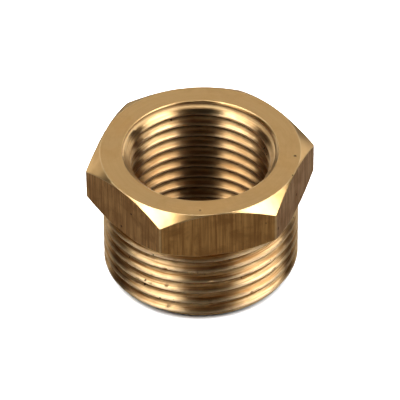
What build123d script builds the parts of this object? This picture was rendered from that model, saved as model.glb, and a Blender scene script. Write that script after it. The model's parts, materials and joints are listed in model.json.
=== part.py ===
from build123d import *
from build123d.topology import SkipClean
import os
from math import ceil, cos, radians, tan

# Reducing hex bushing for pipe, turned from one hexagonal brass bar: a spanner hexagon,
# a 3/4 inch parallel pipe thread outside below it, and a 1/2 inch thread right through.
# Millimetres. Z is the common axis of both threads, Z = 0 is the free end of the outside
# thread, the hexagon is on top, and two of its corners lie on the X axis.

# Spanner hexagon
across_flats = 27.0
head_height = 7.0
top_chamfer_diameter = 26.9
under_chamfer_diameter = 27.3
head_chamfer_angle = 35.0

# Thread form: 14 turns to the inch, 55 degrees between the flanks, right-hand
pitch = 1.814
flank_half_angle = 27.5
thread_depth = 1.1615

# Outside thread and its shank. A crest crosses the +X side this far below the head.
male_major_diameter = 26.441
shank_length = 12.0
first_crest_drop = 0.8
end_chamfer = 1.3
relief_width = 0.6
relief_diameter = 23.9

# Inside thread, drilled to its crest, and the countersink at each end of the bore
female_major_diameter = 20.955
countersink_diameter = 21.1

# The outside thread's ridge is made in pieces of a turn, each let into the shank's core
pieces_per_turn = 6
ridge_overlap = 0.25

# How far each cutter runs past the face that it leaves
overrun = 1.0

total_height = shank_length + head_height
corner_radius = across_flats / 2 / cos(radians(30))
flank_slope = tan(radians(flank_half_angle))
crest_width = pitch / 2 - thread_depth * flank_slope
male_major_radius = male_major_diameter / 2
male_minor_radius = male_major_radius - thread_depth
female_minor_radius = female_major_diameter / 2 - thread_depth
countersink_depth = countersink_diameter / 2 - female_minor_radius


def turned(points):
    # A solid of revolution from its half section, given as radius and height pairs
    outline = Polyline(*[(radius, 0, height) for radius, height in points], close=True)
    return revolve(make_face(outline), Axis.Z)


def hexagon_head():
    # The hexagonal bar with its corners turned off to a cone above and below
    bar = extrude(RegularPolygon(across_flats / 2, 6, major_radius=False), head_height)
    slope = tan(radians(head_chamfer_angle))
    top_radius = top_chamfer_diameter / 2
    under_radius = under_chamfer_diameter / 2
    reach = corner_radius + overrun
    envelope = turned(
        [
            (0, 0),
            (under_radius, 0),
            (reach, (reach - under_radius) * slope),
            (reach, head_height - (reach - top_radius) * slope),
            (top_radius, head_height),
            (0, head_height),
        ]
    )
    return Pos(0, 0, shank_length) * (bar & envelope)


def ridge_piece():
    # Part of a turn of the thread's ridge: a tapered section along the helix, which
    # reaches into the core below its root, with its crest then turned to the diameter
    root_radius = male_minor_radius - ridge_overlap
    crest_radius = male_major_radius + ridge_overlap
    root_half = crest_width / 2 + (thread_depth + ridge_overlap) * flank_slope
    crest_half = crest_width / 2 - ridge_overlap * flank_slope
    section = [
        (root_radius, -root_half),
        (crest_radius, -crest_half),
        (crest_radius, crest_half),
        (root_radius, root_half),
    ]
    rise = pitch / pieces_per_turn
    edges = [Edge.make_helix(pitch, rise, radius, center=(0, 0, z)) for radius, z in section]
    next_edges = edges[1:] + edges[:1]
    sides = [Face.make_surface_from_curves(*pair) for pair in zip(edges, next_edges)]
    ends = [Face(Wire.make_polygon([edge @ t for edge in edges])) for t in (0, 1)]
    return Solid(Shell(sides + ends)) & Cylinder(male_major_radius, 4 * pitch)


def threaded_shank():
    # The ridge winds down the core from above the relief to past the shank's end
    core = turned(
        [
            (0, -overrun),
            (male_minor_radius, -overrun),
            (male_minor_radius, shank_length + overrun),
            (0, shank_length + overrun),
        ]
    )
    ridge = ridge_piece()
    start = shank_length - first_crest_drop + pitch
    rise = pitch / pieces_per_turn
    turn = 360 / pieces_per_turn
    count = ceil((start + pitch) / rise)
    ridges = [Pos(0, 0, start - n * rise) * Rot(0, 0, -n * turn) * ridge for n in range(count)]
    return core.fuse(*ridges) - shank_end() - relief()


def shank_end():
    # What is turned away below the shank's end face and its chamfer
    outer_radius = male_major_radius + overrun
    return turned(
        [
            (0, 0),
            (male_major_radius - end_chamfer, 0),
            (outer_radius, end_chamfer + overrun),
            (outer_radius, -2 * pitch),
            (0, -2 * pitch),
        ]
    )


def relief():
    # The narrow groove that ends the thread under the head. It takes off all that the
    # ridge has above it too, so that only the core goes up into the head.
    bottom = shank_length - relief_width
    top = shank_length + 3 * pitch
    return turned(
        [
            (relief_diameter / 2, bottom),
            (male_major_radius + overrun, bottom),
            (male_major_radius + overrun, top),
            (relief_diameter / 2, top),
        ]
    )


def bore():
    # The tapping drill and both countersinks: the wall is the inside thread's crest
    mouth_radius = countersink_diameter / 2 + overrun
    return turned(
        [
            (0, -overrun),
            (mouth_radius, -overrun),
            (female_minor_radius, countersink_depth),
            (female_minor_radius, total_height - countersink_depth),
            (mouth_radius, total_height + overrun),
            (0, total_height + overrun),
        ]
    )


# Seams between the ridge's pieces are kept, so that each face of a crest stays short
with SkipClean():
    bushing = threaded_shank() + hexagon_head() - bore()

os.makedirs("parts", exist_ok=True)
export_step(bushing.solid(), "parts/hex_bushing.step")
print("volume in cubic millimetres:", round(bushing.volume, 1))
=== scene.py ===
import json
import math
import random

import bpy
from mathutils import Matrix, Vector


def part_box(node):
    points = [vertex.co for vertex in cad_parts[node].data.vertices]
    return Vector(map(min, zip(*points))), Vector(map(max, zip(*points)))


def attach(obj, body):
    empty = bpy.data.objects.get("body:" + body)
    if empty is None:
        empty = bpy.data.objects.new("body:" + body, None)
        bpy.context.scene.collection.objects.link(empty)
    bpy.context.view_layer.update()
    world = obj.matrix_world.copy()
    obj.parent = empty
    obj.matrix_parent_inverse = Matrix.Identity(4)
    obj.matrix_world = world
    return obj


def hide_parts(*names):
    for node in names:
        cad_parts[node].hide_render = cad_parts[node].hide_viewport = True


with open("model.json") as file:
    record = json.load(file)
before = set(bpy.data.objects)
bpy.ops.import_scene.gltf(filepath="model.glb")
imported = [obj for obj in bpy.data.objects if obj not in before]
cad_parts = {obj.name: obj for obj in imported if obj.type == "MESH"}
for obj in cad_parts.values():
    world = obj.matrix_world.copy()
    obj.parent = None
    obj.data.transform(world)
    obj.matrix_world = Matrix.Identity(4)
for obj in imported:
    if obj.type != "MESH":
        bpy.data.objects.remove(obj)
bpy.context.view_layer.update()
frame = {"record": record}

low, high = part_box("hex_bushing")
mounts = {mount["name"]: mount for mount in frame["record"]["mounts"]}
mm = 0.001

# the bushing's mesh, in millimetres until it is written

bushing = {
    "height": (high.z - low.z) / mm,
    "acrossFlats": (high.y - low.y) / mm,
    "shankLength": 12.0,
    "topChamferRadius": 13.45,
    "underChamferRadius": 13.65,
    "headChamferAngle": 35.0,
    "cornerRounding": 0.4,        # radius of the hexagon's six upright corners
    "edgeRounding": 0.07,         # how far back every other edge is softened
    "mostSoftened": 0.3,          # the most of a side that this takes, as a share
    "heldBeyond": 0.5,            # where the row beyond it lies, as a share of that setback
    "edgeWear": (0.0, 0.7, 1.0, 0.7, 0.0),  # how rubbed each row across it is
    "pitch": 1.814,
    "threadDepth": 1.1615,
    "maleRadius": mounts["male_thread"]["dims"]["r_mm"],
    "endChamfer": 1.3,
    "endEdge": 0.06,
    "reliefRadius": 11.95,
    "reliefWidth": 0.6,
    "reliefSlope": 6.0,
    "crestDrop": 0.8,             # below the head, where a crest crosses the +X side
    "femaleRadius": mounts["female_thread"]["dims"]["r_mm"],
    "mouthRadius": 10.55,
    "mouthEdge": 0.06,
    "femaleCrestHeight": 15.4,    # where an inside crest crosses the +X side
    # half the thread's profile: share of a turn from the crest, and share of the depth
    "threadProfile": [
        (0.0, 0.0),
        (0.062, 0.0),
        (0.084, 0.018),
        (0.106, 0.069),
        (0.145, 0.186),
        (0.27, 0.56),
        (0.375, 0.874),
        (0.43, 0.985),
        (0.5, 1.0),
    ],
    "brokenEdge": 0.09,           # the least that is taken off the hexagon's edges
    "columnsPerFlat": 38,
    "cornerColumns": (0.0, 0.2, 0.4, 0.6, 0.9, 1.5),  # degrees from a corner
    "cornerWearAndHighlight": 0.8,            # degrees from a corner where its rubbed line ends: wear, and a painted highlight
    "crestWear": 0.2,             # share of the thread's depth where a rubbed crest ends
    "nickCount": 46,
    "nickTurns": 6,               # how many turns of the thread the nicks are spread over
    "nickSeed": 7,
    "nickDepth": (0.06, 0.16),
    "nickHalfWidth": (0.18, 0.45),
    "nickHalfHeight": (0.1, 0.22),
    "nickDrift": 0.1,             # how far a nick may lie above or below its crest
    "nickShadeAndDirt": 1.6,              # how quickly a nick darkens towards its middle: dirt and painted shade
    "knockedAngle": 240.0,        # deep knocks in a line, below one corner of the hexagon
    "knockedHeights": (8.7, 5.45, 1.85),
    "knockedDrift": 1.0,          # degrees that each may lie out of that line
    "knockedSize": (0.38, 0.17, 0.15),  # half width, half height and depth
}
hexSide = 60                      # degrees round the axis

# each finish's place in the list of finishes further down
turnedFinish, drawnFinish, threadFinish, boreFinish, coneFinish = range(5)

# rows of the head's section, which has five rows for each softened edge
flatRows = range(10, 12)
coneRows = [*range(5, 10), *range(12, 17)]
cornerRows = range(8, 14)


def columnAngles(settings):
    # even columns over each flat, with closer ones round each corner
    near = settings["cornerColumns"]
    steps = settings["columnsPerFlat"]
    flatWidth = hexSide - 2 * near[-1]
    side = list(near[:-1])
    side += [near[-1] + flatWidth * step / steps for step in range(steps + 1)]
    side += [hexSide - angle for angle in reversed(near[1:-1])]
    return [math.radians(hexSide * corner + angle) for corner in range(6) for angle in side]


def offCorner(angle):
    # how far this angle is from the nearest corner of the hexagon
    return abs((angle + math.pi / 6) % (math.pi / 3) - math.pi / 6)


def hexRadius(angle, settings):
    # the hexagon's outline with rounded corners, as a radius at this angle
    apothem = settings["acrossFlats"] / 2
    rounding = settings["cornerRounding"]
    centre = (apothem - rounding) / math.cos(math.pi / 6)
    tangentAngle = math.atan2(rounding / 2, centre + rounding * math.cos(math.pi / 6))
    if offCorner(angle) >= tangentAngle:
        return apothem / math.cos(math.pi / 6 - offCorner(angle))
    across = centre * math.sin(offCorner(angle))
    return centre * math.cos(offCorner(angle)) + math.sqrt(rounding ** 2 - across ** 2)


def threadRows(settings):
    # one turn of the thread, from crest to crest: place along the turn and share of depth
    half = settings["threadProfile"]
    return half + [(1 - place, share) for place, share in reversed(half[1:-1])]


def crestEdge(share, settings):
    # how rubbed the crest is at this share of the thread's depth
    return max(0.0, 1 - share / settings["crestWear"])


def makeNicks(settings):
    # knocks on the outside thread: angle, height, half width, half height and depth
    draw = random.Random(settings["nickSeed"])
    crest = settings["shankLength"] - settings["crestDrop"]
    drift = settings["nickDrift"]
    turned = settings["knockedDrift"]
    nicks = []
    for count in range(settings["nickCount"]):
        angle = draw.uniform(0, math.tau)
        turn = draw.randrange(settings["nickTurns"])
        width = draw.uniform(*settings["nickHalfWidth"])
        tall = draw.uniform(*settings["nickHalfHeight"])
        height = crest + (angle / math.tau - turn) * settings["pitch"] + draw.uniform(-drift, drift)
        nicks.append((angle, height, width, tall, draw.uniform(*settings["nickDepth"])))
    for height in settings["knockedHeights"]:
        angle = math.radians(settings["knockedAngle"] + draw.uniform(-turned, turned))
        nicks.append((angle, height, *settings["knockedSize"]))
    return nicks


def nickAt(angle, height, nicks, settings):
    # how deep a knock goes here, as a share of its own depth and in millimetres
    for nickAngle, nickHeight, width, tall, depth in nicks:
        around = (angle - nickAngle + math.pi) % math.tau - math.pi
        off = (around * settings["maleRadius"] / width) ** 2 + ((height - nickHeight) / tall) ** 2
        if off < 1:
            return 1 - off, depth * (1 - off)
    return 0.0, 0.0


def softened(points, settings):
    # a section's corners, each made a short arc held on both sides, with its edge share
    most = settings["mostSoftened"]
    beyond = settings["heldBeyond"]
    soft = [(*points[0], 0.0)]
    for before, corner, after in zip(points, points[1:], points[2:]):
        toBefore = Vector(before) - Vector(corner)
        toAfter = Vector(after) - Vector(corner)
        cut = min(settings["edgeRounding"], most * toBefore.length, most * toAfter.length)
        start = Vector(corner) + toBefore.normalized() * cut
        end = Vector(corner) + toAfter.normalized() * cut
        middle = (start + end) / 4 + Vector(corner) / 2
        holdBefore = start + toBefore.normalized() * cut * beyond
        holdAfter = end + toAfter.normalized() * cut * beyond
        arc = (holdBefore, start, middle, end, holdAfter)
        soft += [(*point, wear) for point, wear in zip(arc, settings["edgeWear"])]
    return soft + [(*points[-1], 0.0)]


# each column is a list of rows: radius, height, how rubbed it is, and how deep in a thread

def shankColumn(angle, nicks, settings):
    # rows that wind with the outside thread, from the end face's edge up to the head
    pitch = settings["pitch"]
    bottom = settings["endEdge"]
    top = settings["shankLength"]
    crestHeight = top - settings["crestDrop"]
    runOut = top - settings["reliefWidth"]
    lowest = -math.ceil(crestHeight / pitch) - 2
    turns = range(lowest, math.ceil((top - crestHeight) / pitch) + 1)
    column = []
    for turn, (place, share) in ((turn, row) for turn in turns for row in threadRows(settings)):
        height = crestHeight + (turn + place + angle / math.tau) * pitch
        height = min(max(height, bottom), top)
        hollow, knock = nickAt(angle, height, nicks, settings)
        thread = settings["maleRadius"] - share * settings["threadDepth"] - knock
        chamfer = settings["maleRadius"] - settings["endChamfer"] + height
        relief = settings["reliefRadius"] + max(0.0, runOut - height) * settings["reliefSlope"]
        edge = crestEdge(share, settings) * (1 - hollow)
        # a nick, and the relief groove under the head, count as deep, so the root's dirt and
        # painted shade darken them
        dirtAndShade = min(1.0, hollow * settings["nickShadeAndDirt"])
        depth = 1.0 if relief < thread else max(share, dirtAndShade)
        column.append((min(thread, chamfer, relief), height, edge, depth))
    return column


def headColumn(angle, settings):
    # from the relief out under the head, up the flat, over the top and to the mouth
    slope = math.tan(math.radians(settings["headChamferAngle"]))
    bottom = settings["shankLength"]
    top = settings["height"]
    side = hexRadius(angle, settings)
    under = min(settings["underChamferRadius"], side - settings["brokenEdge"])
    over = min(settings["topChamferRadius"], side - settings["brokenEdge"])
    mouth = settings["mouthRadius"]
    mouthEdge = settings["mouthEdge"]
    # the hexagon's upright corners take the worn colour: wear, and a painted highlight along each
    # corner
    corner = max(0.0, 1 - math.degrees(offCorner(angle)) / settings["cornerWearAndHighlight"])
    section = [
        (settings["reliefRadius"], bottom),
        (under, bottom),
        (side, bottom + (side - under) * slope),
        (side, top - (side - over) * slope),
        (over, top),
        (mouth, top),
        (mouth - mouthEdge, top - mouthEdge),
    ]
    return [
        (radius, height, max(edge, corner) if row in cornerRows else edge, 0.0)
        for row, (radius, height, edge) in enumerate(softened(section, settings))
    ]


def boreColumn(angle, settings):
    # rows that wind with the inside thread, from the mouth down to the other end
    pitch = settings["pitch"]
    top = settings["height"] - settings["mouthEdge"]
    bottom = settings["mouthEdge"]
    crestHeight = settings["femaleCrestHeight"]
    highest = math.ceil((top - crestHeight) / pitch) + 1
    turns = range(highest, -math.ceil(crestHeight / pitch) - 3, -1)
    column = []
    for turn, (place, share) in ((turn, row) for turn in turns for row in threadRows(settings)):
        height = crestHeight + (turn - place + angle / math.tau) * pitch
        height = min(max(height, bottom), top)
        thread = settings["femaleRadius"] + share * settings["threadDepth"]
        countersink = settings["mouthRadius"] - min(height, settings["height"] - height)
        if thread > countersink:
            column.append((thread, height, crestEdge(share, settings), share))
        else:
            column.append((countersink, height, 0.0, 0.0))
    return column


def endColumn(settings):
    # the end face of the shank, between the bore's edge and the thread's chamfer
    mouth = settings["mouthRadius"]
    mouthEdge = settings["mouthEdge"]
    outer = settings["maleRadius"] - settings["endChamfer"]
    endEdge = settings["endEdge"]
    section = [
        (mouth - mouthEdge, mouthEdge),
        (mouth, 0.0),
        (outer, 0.0),
        (outer + endEdge, endEdge),
    ]
    return [(radius, height, edge, 0.0) for radius, height, edge in softened(section, settings)]


def headFinish(row):
    # the flats were drawn; the cones above and below them, and the faces, were turned
    if row in flatRows:
        return drawnFinish
    return coneFinish if row in coneRows else turnedFinish


def zoneFaces(grid, turnShift, finishOf, faces, finishes):
    # quads between neighbouring columns; the last column meets the first a turn on
    for index, column in enumerate(grid):
        after = grid[(index + 1) % len(grid)]
        shift = turnShift if index == len(grid) - 1 else 0
        for row in range(len(column) - 1):
            upper = row + shift
            if upper < 0 or upper + 1 >= len(after):
                continue
            quad = []
            for corner in (column[row], after[upper], after[upper + 1], column[row + 1]):
                if corner not in quad:
                    quad.append(corner)
            if len(quad) > 2:
                faces.append(quad)
                finishes.append(finishOf(row))


def buildBushing(settings):
    angles = columnAngles(settings)
    nicks = makeNicks(settings)
    places = {}
    vertices, edgeShares, depthShares = [], [], []

    def placed(point, angle):
        # one vertex for each place, so that rows which end together share it
        radius, height, edge, depth = point
        spot = (radius * math.cos(angle), radius * math.sin(angle), height)
        key = tuple(round(value, 5) for value in spot)
        if key not in places:
            places[key] = len(vertices)
            vertices.append(Vector(spot) * mm)
            edgeShares.append(edge)
            depthShares.append(depth)
        return places[key]

    # each zone: its column, how many rows a turn winds it on, and the finish of a row
    rows = len(threadRows(settings))
    zones = [
        (lambda angle: shankColumn(angle, nicks, settings), rows, lambda row: threadFinish),
        (lambda angle: headColumn(angle, settings), 0, headFinish),
        (lambda angle: boreColumn(angle, settings), -rows, lambda row: boreFinish),
        (lambda angle: endColumn(settings), 0, lambda row: turnedFinish),
    ]
    faces, finishes = [], []
    for makeColumn, turnShift, finishOf in zones:
        grid = [[placed(point, angle) for point in makeColumn(angle)] for angle in angles]
        zoneFaces(grid, turnShift, finishOf, faces, finishes)
    mesh = bpy.data.meshes.new("bushing_body")
    mesh.from_pydata(vertices, [], faces)
    mesh.polygons.foreach_set("material_index", finishes)
    mesh.polygons.foreach_set("use_smooth", [True] * len(faces))
    mesh.attributes.new("edge", "FLOAT", "POINT").data.foreach_set("value", edgeShares)
    mesh.attributes.new("depth", "FLOAT", "POINT").data.foreach_set("value", depthShares)
    mesh.update()
    piece = bpy.data.objects.new("bushing_body", mesh)
    bpy.context.scene.collection.objects.link(piece)
    print("bushing mesh:", len(vertices), "vertices,", len(faces), "faces")
    return piece


body = buildBushing(bushing)
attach(body, "root")
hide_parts("hex_bushing")


# short ways to add a node and take what it gives

def feed(tree, socket, given):
    # a fixed value or colour, or else a link from another node
    if isinstance(given, tuple):
        socket.default_value = (*given, 1)
    elif isinstance(given, (int, float)):
        socket.default_value = given
    else:
        tree.links.new(given, socket)


def addMath(tree, operation, *values, clamp=False):
    node = tree.nodes.new("ShaderNodeMath")
    node.operation = operation
    node.use_clamp = clamp
    for socket, value in zip(node.inputs, values):
        feed(tree, socket, value)
    return node.outputs[0]


def addRange(tree, value, fromLow, fromHigh, toLow=0.0, toHigh=1.0):
    # a smooth step from one range to another
    node = tree.nodes.new("ShaderNodeMapRange")
    node.interpolation_type = "SMOOTHSTEP"
    feed(tree, node.inputs["Value"], value)
    feed(tree, node.inputs["From Min"], fromLow)
    feed(tree, node.inputs["From Max"], fromHigh)
    feed(tree, node.inputs["To Min"], toLow)
    feed(tree, node.inputs["To Max"], toHigh)
    return node.outputs["Result"]


def addScale(tree, place, factor):
    node = tree.nodes.new("ShaderNodeVectorMath")
    node.operation = "SCALE"
    tree.links.new(place, node.inputs[0])
    feed(tree, node.inputs["Scale"], factor)
    return node.outputs[0]


def addNoise(tree, place, detail, roughness, distortion):
    node = tree.nodes.new("ShaderNodeTexNoise")
    node.inputs["Scale"].default_value = 1.0
    node.inputs["Detail"].default_value = detail
    node.inputs["Roughness"].default_value = roughness
    node.inputs["Distortion"].default_value = distortion
    tree.links.new(place, node.inputs["Vector"])
    return node.outputs["Fac"]


def addMix(tree, share, first, second):
    node = tree.nodes.new("ShaderNodeMix")
    node.data_type = "RGBA"
    for index, given in ((0, share), (6, first), (7, second)):  # 6 and 7 are the colours
        feed(tree, node.inputs[index], given)
    return node.outputs[2]


def addAttribute(tree, name):
    node = tree.nodes.new("ShaderNodeAttribute")
    node.attribute_name = name
    return node.outputs["Fac"]


def millimetres(tree):
    # the place on the part, in millimetres
    return addScale(tree, tree.nodes.new("ShaderNodeTexCoord").outputs["Object"], 1 / mm)


def parted(tree, place):
    node = tree.nodes.new("ShaderNodeSeparateXYZ")
    tree.links.new(place, node.inputs[0])
    return node.outputs


def joined(tree, x, y, z):
    node = tree.nodes.new("ShaderNodeCombineXYZ")
    for socket, value in zip(node.inputs, (x, y, z)):
        feed(tree, socket, value)
    return node.outputs[0]


# what the finishes share, as node groups: what a finish may set for itself, each noise's
# detail, roughness and distortion, and the smooth step that makes a mask of it

effects = {
    "turned": {
        "inputs": {"Marks per mm": 3.0, "Breaks round": 3.0, "Share of height": 1.3},
        "noise": (3.0, 0.6, 0.0),
        "step": (0.36, 0.64),
    },
    "drawn": {
        "inputs": {"Marks per mm": 4.0, "Breaks per mm": 0.1},
        "noise": (3.0, 0.6, 0.0),
        "step": (0.3, 0.7),
    },
    "tarnish": {
        "inputs": {"Patches per mm": 0.25, "Specks per mm": 1.3, "Speck share": 0.15},
        "noise": (5.0, 0.62, 0.4),
        "step": (0.42, 0.68),
        "speckSize": 0.08,            # the least, as a share of the space between specks
        "speckSpread": 0.16,          # the most that chance adds to it
        "speckEdge": (0.6, 1.2),      # where its rim starts and ends, as shares of its size
    },
    "worn": {
        "inputs": {"Wear": 0.8, "Gaps per mm": 0.9},
        "noise": (3.0, 0.5, 0.0),
        "step": (0.25, 0.5),
        "leastKept": 0.35,            # share of the wear that is left in a gap
    },
    # dirt and painted shade in the thread roots, darker the deeper the row
    "shadeAndGrime": {
        "inputs": {"Starts at": 0.72, "Ragged": 0.3},
        "noise": (4.0, 0.6, 0.0),
    },
    "scratches": {
        "inputs": {"Scratches per mm": 2.2, "Share": 0.3},
        "directions": ((0.3, 0.2, 0.6), (-0.5, 0.4, -0.9)),  # turns about X, Y and Z
        "drawnOut": (0.12, 1.0, 1.0),  # less is longer
        "noise": (2.0, 0.5, 0.0),
        "step": (0.66, 0.74),
    },
}


def newGroup(name, inputs, outputs):
    group = bpy.data.node_groups.new(name, "ShaderNodeTree")
    for label, value in inputs.items():
        socket = group.interface.new_socket(label, in_out="INPUT", socket_type="NodeSocketFloat")
        socket.default_value = value
    for label in outputs:
        group.interface.new_socket(label, in_out="OUTPUT", socket_type="NodeSocketFloat")
    given = group.nodes.new("NodeGroupInput").outputs
    result = group.nodes.new("NodeGroupOutput").inputs
    return group, given, result


def turnedMarks(settings):
    # fine rings left by the lathe: long round the axis and narrow across the cut
    group, given, result = newGroup("turned_marks", settings["inputs"], ["Marks"])
    x, y, z = parted(group, millimetres(group))
    squares = [addMath(group, "MULTIPLY", side, side) for side in (x, y)]
    radius = addMath(group, "SQRT", addMath(group, "ADD", *squares))
    turns = [addMath(group, "DIVIDE", side, radius) for side in (x, y)]
    around = [addMath(group, "MULTIPLY", turn, given["Breaks round"]) for turn in turns]
    across = addMath(group, "MULTIPLY_ADD", z, given["Share of height"], radius)
    across = addMath(group, "MULTIPLY", across, given["Marks per mm"])
    noise = addNoise(group, joined(group, *around, across), *settings["noise"])
    group.links.new(addRange(group, noise, *settings["step"]), result["Marks"])
    return group


def drawnMarks(settings):
    # straight lines along the bar, left when it was drawn
    group, given, result = newGroup("drawn_marks", settings["inputs"], ["Marks"])
    x, y, z = parted(group, millimetres(group))
    across = [addMath(group, "MULTIPLY", side, given["Marks per mm"]) for side in (x, y)]
    along = addMath(group, "MULTIPLY", z, given["Breaks per mm"])
    noise = addNoise(group, joined(group, *across, along), *settings["noise"])
    group.links.new(addRange(group, noise, *settings["step"]), result["Marks"])
    return group


def tarnish(settings):
    # broad dull patches, and small dark specks
    group, given, result = newGroup("tarnish", settings["inputs"], ["Patches", "Specks"])
    place = millimetres(group)
    wide = addScale(group, place, given["Patches per mm"])
    noise = addNoise(group, wide, *settings["noise"])
    group.links.new(addRange(group, noise, *settings["step"]), result["Patches"])
    cells = group.nodes.new("ShaderNodeTexVoronoi")
    group.links.new(place, cells.inputs["Vector"])
    group.links.new(given["Specks per mm"], cells.inputs["Scale"])
    chance = group.nodes.new("ShaderNodeSeparateColor")
    group.links.new(cells.outputs["Color"], chance.inputs[0])
    chosen = addMath(group, "LESS_THAN", chance.outputs[0], given["Speck share"])
    spread = settings["speckSpread"]
    size = addMath(group, "MULTIPLY_ADD", chance.outputs[1], spread, settings["speckSize"])
    reach = addMath(group, "DIVIDE", cells.outputs["Distance"], size)
    spot = addRange(group, reach, *settings["speckEdge"], 1.0, 0.0)
    group.links.new(addMath(group, "MULTIPLY", spot, chosen), result["Specks"])
    return group


def wornEdgesAndCornerHighlight(settings):
    # rubbed, brighter metal along edges and crests; along the hexagon's corners it is also a
    # painted highlight
    group, given, result = newGroup("worn_edges_and_corner_highlight", settings["inputs"], ["Worn"])
    fine = addScale(group, millimetres(group), given["Gaps per mm"])
    noise = addNoise(group, fine, *settings["noise"])
    broken = addRange(group, noise, *settings["step"], settings["leastKept"], 1.0)
    worn = addMath(group, "MULTIPLY", addAttribute(group, "edge"), broken)
    group.links.new(addMath(group, "MULTIPLY", worn, given["Wear"], clamp=True), result["Worn"])
    return group


def rootGrime(settings):
    # dirt and old oil in a thread's root, with painted shade there too: darker towards the root
    group, given, result = newGroup("root_shade_and_grime", settings["inputs"], ["Grime"])
    noise = addNoise(group, millimetres(group), *settings["noise"])
    ragged = addMath(group, "SUBTRACT", noise, 0.5)
    ragged = addMath(group, "MULTIPLY", ragged, given["Ragged"])
    level = addMath(group, "ADD", addAttribute(group, "depth"), ragged)
    group.links.new(addRange(group, level, given["Starts at"], 1.0), result["Grime"])
    return group


def fineScratches(settings):
    # thin handling scratches in two directions
    group, given, result = newGroup("fine_scratches", settings["inputs"], ["Scratches"])
    place = millimetres(group)
    sets = []
    for direction in settings["directions"]:
        turned = group.nodes.new("ShaderNodeMapping")
        turned.inputs["Rotation"].default_value = direction
        turned.inputs["Scale"].default_value = settings["drawnOut"]
        group.links.new(place, turned.inputs["Vector"])
        fine = addScale(group, turned.outputs[0], given["Scratches per mm"])
        noise = addNoise(group, fine, *settings["noise"])
        sets.append(addRange(group, noise, *settings["step"]))
    both = addMath(group, "MAXIMUM", *sets)
    group.links.new(addMath(group, "MULTIPLY", both, given["Share"]), result["Scratches"])
    return group


sharedEffects = {
    "turned": turnedMarks(effects["turned"]),
    "drawn": drawnMarks(effects["drawn"]),
    "tarnish": tarnish(effects["tarnish"]),
    "worn": wornEdgesAndCornerHighlight(effects["worn"]),
    "shadeAndGrime": rootGrime(effects["shadeAndGrime"]),
    "scratches": fineScratches(effects["scratches"]),
}
print("shared effects made")


# the finishes, in the order of their numbers at the start

finishSettings = {
    "turned_brass": {
        "marks": ("turned", {"Marks per mm": 2.6, "Breaks round": 2.0}),
        "tarnish": {"Patches per mm": 0.22, "Specks per mm": 0.9, "Speck share": 0.05},
        "worn": {"Wear": 0.7, "Gaps per mm": 0.8},
        "colour": (0.83, 0.52, 0.215),
        "dullColour": (0.68, 0.40, 0.15),
        "wornColour": (0.92, 0.66, 0.34),
        "markShade": 0.16,
        "roughness": 0.38,
        "markRoughness": 0.06,
        "markDepth": 3.0,         # in thousandths of a millimetre, like every depth here
        "wornRoughness": 0.0,
        "patchShare": 0.6,
    },
    "drawn_brass": {
        "marks": ("drawn", {"Marks per mm": 3.2, "Breaks per mm": 0.1}),
        "tarnish": {"Patches per mm": 0.3, "Specks per mm": 1.1, "Speck share": 0.12},
        "worn": {"Wear": 0.8, "Gaps per mm": 0.8},
        "colour": (0.70, 0.37, 0.125),
        "dullColour": (0.36, 0.165, 0.048),
        "wornColour": (0.9, 0.64, 0.33),
        "markShade": 0.95,
        "roughness": 0.32,
        "markRoughness": 0.14,
        "markDepth": 6.0,
        "wornRoughness": 0.25,
        "patchShare": 0.8,
    },
    "thread_brass": {
        "marks": ("turned", {"Marks per mm": 4.2, "Breaks round": 1.3, "Share of height": 0.3}),
        "tarnish": {"Patches per mm": 0.3, "Specks per mm": 1.2, "Speck share": 0.14},
        "worn": {"Wear": 0.9, "Gaps per mm": 1.0},
        "colour": (0.82, 0.58, 0.295),
        "dullColour": (0.40, 0.175, 0.042),
        "wornColour": (0.93, 0.69, 0.41),
        "markShade": 0.9,
        "roughness": 0.32,
        "markRoughness": 0.04,
        "markDepth": 18.0,
        # the roots darken: dirt, and painted shade
        "shadeAndGrime": {"Starts at": 0.45, "Ragged": 0.35},
        "shadeAndGrimeShare": 0.5,
        "shadeAndGrimeColour": (0.05, 0.015, 0.002),
        "wornRoughness": 0.16,
        "patchShare": 0.3,
        "stretch": 1.0,           # how far gloss spreads across the cut instead of along it
    },
    "bore_brass": {
        "marks": ("turned", {"Marks per mm": 4.2, "Breaks round": 1.3, "Share of height": 0.3}),
        "tarnish": {"Patches per mm": 0.35, "Specks per mm": 1.3, "Speck share": 0.1},
        "worn": {"Wear": 0.5, "Gaps per mm": 1.0},
        "colour": (0.79, 0.545, 0.265),
        "dullColour": (0.36, 0.15, 0.035),
        "wornColour": (0.88, 0.66, 0.4),
        "markShade": 0.5,
        "roughness": 0.29,
        "markRoughness": 0.04,
        "markDepth": 5.0,
        # the roots darken nearly to black: dirt, and painted shade
        "shadeAndGrime": {"Starts at": 0.42, "Ragged": 0.25},
        "shadeAndGrimeShare": 0.6,
        "shadedBelow": (18.0, 9.0, 0.58),  # painted shade down the bore: where it starts, is darkest, and its share
        "deepShadeColour": (0.25, 0.11, 0.028),
        "shadeAndGrimeColour": (0.012, 0.004, 0.001),
        "wornRoughness": 0.1,
        "patchShare": 0.25,
        "stretch": 1.0,
    },
    "cone_brass": {
        "marks": ("turned", {"Marks per mm": 4.0, "Breaks round": 3.0}),
        "tarnish": {"Patches per mm": 0.25, "Specks per mm": 1.0, "Speck share": 0.05},
        "worn": {"Wear": 0.6, "Gaps per mm": 0.8},
        "colour": (0.83, 0.52, 0.215),
        "dullColour": (0.68, 0.40, 0.15),
        "wornColour": (0.92, 0.66, 0.34),
        "markShade": 0.2,
        "roughness": 0.3,
        "markRoughness": 0.06,
        "markDepth": 3.0,
        "wornRoughness": 0.0,
        "patchShare": 0.6,
        "stretch": 0.8,
    },
}
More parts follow.
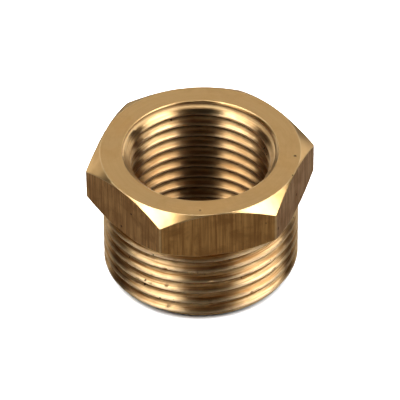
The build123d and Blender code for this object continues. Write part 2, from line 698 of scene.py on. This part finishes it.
everyFinish = {
    "speckColour": (0.04, 0.022, 0.01),
    "speckShare": 0.85,
    "dirtSheen": 0.1,
    "grooveTurn": 0.25,           # of a turn, from along the grooves to across them
    "patchRoughness": 0.08,
    "scratchRoughness": 0.15,
    "dirtRoughness": 0.3,
    "scratchDepth": 4.0,
    "dirtDepth": 8.0,
    "depthUnit": 0.001,           # in millimetres
}


def addEffect(tree, name, values):
    node = tree.nodes.new("ShaderNodeGroup")
    node.node_tree = sharedEffects[name]
    for label, value in values.items():
        node.inputs[label].default_value = value
    return node.outputs


def makeFinish(name, finish, common):
    material = bpy.data.materials.new(name)
    material.use_nodes = True
    tree = material.node_tree
    shader = tree.nodes["Principled BSDF"]
    if "stretch" in finish:
        shader.inputs["Anisotropic"].default_value = finish["stretch"]
        shader.inputs["Anisotropic Rotation"].default_value = common["grooveTurn"]
        roundAxis = tree.nodes.new("ShaderNodeTangent")
        roundAxis.direction_type = "RADIAL"
        roundAxis.axis = "Z"
        tree.links.new(roundAxis.outputs["Tangent"], shader.inputs["Tangent"])
    shader.inputs["Specular IOR Level"].default_value = common["dirtSheen"]
    marks = addEffect(tree, *finish["marks"])["Marks"]
    patches, specks = addEffect(tree, "tarnish", finish["tarnish"])
    worn = addEffect(tree, "worn", finish["worn"])["Worn"]
    scratches = addEffect(tree, "scratches", {})["Scratches"]

    dulled = addMath(tree, "MULTIPLY", patches, finish["patchShare"])
    colour = addMix(tree, dulled, finish["colour"], finish["dullColour"])
    shade = addMath(tree, "MULTIPLY", marks, finish["markShade"])
    colour = addMix(tree, shade, colour, finish["dullColour"])
    # worn colour: real wear, and a painted highlight along the hexagon's corners
    colour = addMix(tree, worn, colour, finish["wornColour"])
    # painted shade: the bore's colour darkens towards its lower end
    if "shadedBelow" in finish:
        start, darkestAt, share = finish["shadedBelow"]
        height = parted(tree, millimetres(tree))["Z"]
        deepShade = addRange(tree, height, darkestAt, start, share, 0.0)
        colour = addMix(tree, deepShade, colour, finish["deepShadeColour"])
    dirtAndShade = specks
    # dirt and painted shade in the roots, as a dull colour that is not metal
    if "shadeAndGrime" in finish:
        shadeAndGrime = addEffect(tree, "shadeAndGrime", finish["shadeAndGrime"])["Grime"]
        shadeAndGrimeCover = addMath(tree, "MULTIPLY", shadeAndGrime, finish["shadeAndGrimeShare"])
        colour = addMix(tree, shadeAndGrimeCover, colour, finish["shadeAndGrimeColour"])
        bare = addMath(tree, "SUBTRACT", 1.0, shadeAndGrimeCover, clamp=True)
        tree.links.new(bare, shader.inputs["Metallic"])
        dirtAndShade = addMath(tree, "MAXIMUM", specks, shadeAndGrime)
    else:
        shader.inputs["Metallic"].default_value = 1
    darkened = addMath(tree, "MULTIPLY", specks, common["speckShare"])
    colour = addMix(tree, darkened, colour, common["speckColour"])
    tree.links.new(colour, shader.inputs["Base Color"])

    rough = addMath(tree, "MULTIPLY_ADD", patches, common["patchRoughness"], finish["roughness"])
    rough = addMath(tree, "MULTIPLY_ADD", marks, finish["markRoughness"], rough)
    rough = addMath(tree, "MULTIPLY_ADD", scratches, common["scratchRoughness"], rough)
    rough = addMath(tree, "MULTIPLY_ADD", worn, finish["wornRoughness"], rough)
    rough = addMath(tree, "MULTIPLY_ADD", dirtAndShade, common["dirtRoughness"], rough, clamp=True)
    tree.links.new(rough, shader.inputs["Roughness"])

    relief = addMath(tree, "MULTIPLY", marks, finish["markDepth"])
    relief = addMath(tree, "MULTIPLY_ADD", scratches, -common["scratchDepth"], relief)
    relief = addMath(tree, "MULTIPLY_ADD", dirtAndShade, -common["dirtDepth"], relief)
    bump = tree.nodes.new("ShaderNodeBump")
    bump.inputs["Distance"].default_value = common["depthUnit"] * mm
    tree.links.new(relief, bump.inputs["Height"])
    tree.links.new(bump.outputs["Normal"], shader.inputs["Normal"])
    return material


for name, finish in finishSettings.items():
    body.data.materials.append(makeFinish(name, finish, everyFinish))
print("finishes made")


# floor, lights and camera

studio = {
    "cameraAzimuth": -9.7,
    "cameraElevation": 40.22,
    "cameraDistance": 549.0,
    "cameraRoll": -0.4,
    "aimHeight": 10.22,
    "aimSide": -0.085,
    "lens": 365.8,
    "sensorWidth": 36,
    "nearest": 0.01,              # what the camera sees starts and ends here, in metres
    "farthest": 20,
    "floorSide": 1500.0,
    "floorColour": (0.82, 0.82, 0.82),
    "floorInMetal": (0.06, 0.059, 0.056),  # how the floor looks in the metal's reflections
    "floorRoughness": 0.9,
    "worldStrength": 0.01,
    # each soft box: centre to the right, away and up, width and depth, lean, turn, brightness
    "softBoxes": {
        "left_soft_box": ((-195.0, -108.0, 300.0), (180.0, 375.0), 0.0, -12.5, 7.0),
        "right_soft_box": ((284.0, -86.0, 300.0), (260.0, 375.0), 0.0, 18.5, 7.0),
        "back_panel": ((0.0, 420.0, 275.0), (1500.0, 200.0), -75.0, 0.0, 0.84),
        "left_low_panel": ((-500.0, 420.0, 92.0), (480.0, 176.0), -75.0, 0.0, 0.8),
        "right_low_panel": ((500.0, 420.0, 92.0), (480.0, 176.0), -75.0, 0.0, 0.8),
    },
    "fillHeight": 900.0,
    "fillSide": 1200.0,
    "fillBrightness": 10.0,
}


def cameraFrame(settings):
    # right, level forward, and straight back from the aim point to the camera
    azimuth = math.radians(settings["cameraAzimuth"])
    elevation = math.radians(settings["cameraElevation"])
    right = Vector((math.cos(azimuth), math.sin(azimuth), 0))
    forward = Vector((-math.sin(azimuth), math.cos(azimuth), 0))
    back = -forward * math.cos(elevation) + Vector((0, 0, 1)) * math.sin(elevation)
    return right, forward, back


def makeCamera(settings):
    right, forward, back = cameraFrame(settings)
    data = bpy.data.cameras.new("camera")
    data.lens = settings["lens"]
    data.sensor_width = settings["sensorWidth"]
    data.clip_start = settings["nearest"]
    data.clip_end = settings["farthest"]
    camera = bpy.data.objects.new("camera", data)
    aim = right * settings["aimSide"] * mm + Vector((0, 0, settings["aimHeight"] * mm))
    camera.location = aim + back * settings["cameraDistance"] * mm
    camera.rotation_euler = back.to_track_quat("Z", "Y").to_matrix().to_euler()
    camera.rotation_euler.rotate_axis("Z", math.radians(settings["cameraRoll"]))
    bpy.context.scene.collection.objects.link(camera)
    bpy.context.scene.camera = camera


def makeFloor(settings):
    half = settings["floorSide"] * mm / 2
    corners = [(-half, -half, 0), (half, -half, 0), (half, half, 0), (-half, half, 0)]
    mesh = bpy.data.meshes.new("floor")
    mesh.from_pydata(corners, [], [(0, 1, 2, 3)])
    floor = bpy.data.objects.new("floor", mesh)
    material = bpy.data.materials.new("floor")
    material.use_nodes = True
    tree = material.node_tree
    shader = tree.nodes["Principled BSDF"]
    shader.inputs["Roughness"].default_value = settings["floorRoughness"]
    shader.inputs["Specular IOR Level"].default_value = 0.0
    inMetal = tree.nodes.new("ShaderNodeLightPath").outputs["Is Glossy Ray"]
    colour = addMix(tree, inMetal, settings["floorColour"], settings["floorInMetal"])
    tree.links.new(colour, shader.inputs["Base Color"])
    mesh.materials.append(material)
    bpy.context.scene.collection.objects.link(floor)


def makeSoftBox(name, box, settings):
    right, forward = cameraFrame(settings)[:2]
    (side, away, up), (width, depth), lean, turn, brightness = box
    data = bpy.data.lights.new(name, "AREA")
    data.shape = "RECTANGLE"
    data.size = width * mm
    data.size_y = depth * mm
    data.energy = brightness * math.pi * data.size * data.size_y
    light = bpy.data.objects.new(name, data)
    light.location = (right * side + forward * away + Vector((0, 0, up))) * mm
    light.visible_camera = False
    light.rotation_euler = (math.radians(lean), 0, math.radians(settings["cameraAzimuth"] + turn))
    bpy.context.scene.collection.objects.link(light)


def makeFill(settings):
    # broad light for the floor, and for the roots' dirt and painted shade: bare metal doesn't
    # reflect it
    data = bpy.data.lights.new("floor_fill", "AREA")
    data.size = settings["fillSide"] * mm
    data.energy = settings["fillBrightness"] * math.pi * data.size ** 2
    light = bpy.data.objects.new("floor_fill", data)
    light.location = (0, 0, settings["fillHeight"] * mm)
    light.visible_glossy = False
    bpy.context.scene.collection.objects.link(light)


def makeWorld(settings):
    world = bpy.data.worlds.new("world")
    world.use_nodes = True
    background = world.node_tree.nodes["Background"]
    background.inputs["Color"].default_value = (1, 1, 1, 1)
    background.inputs["Strength"].default_value = settings["worldStrength"]
    bpy.context.scene.world = world


makeCamera(studio)
makeFloor(studio)
for name, box in studio["softBoxes"].items():
    makeSoftBox(name, box, studio)
makeFill(studio)
makeWorld(studio)
bpy.context.scene.view_settings.view_transform = "Standard"
print("studio set")
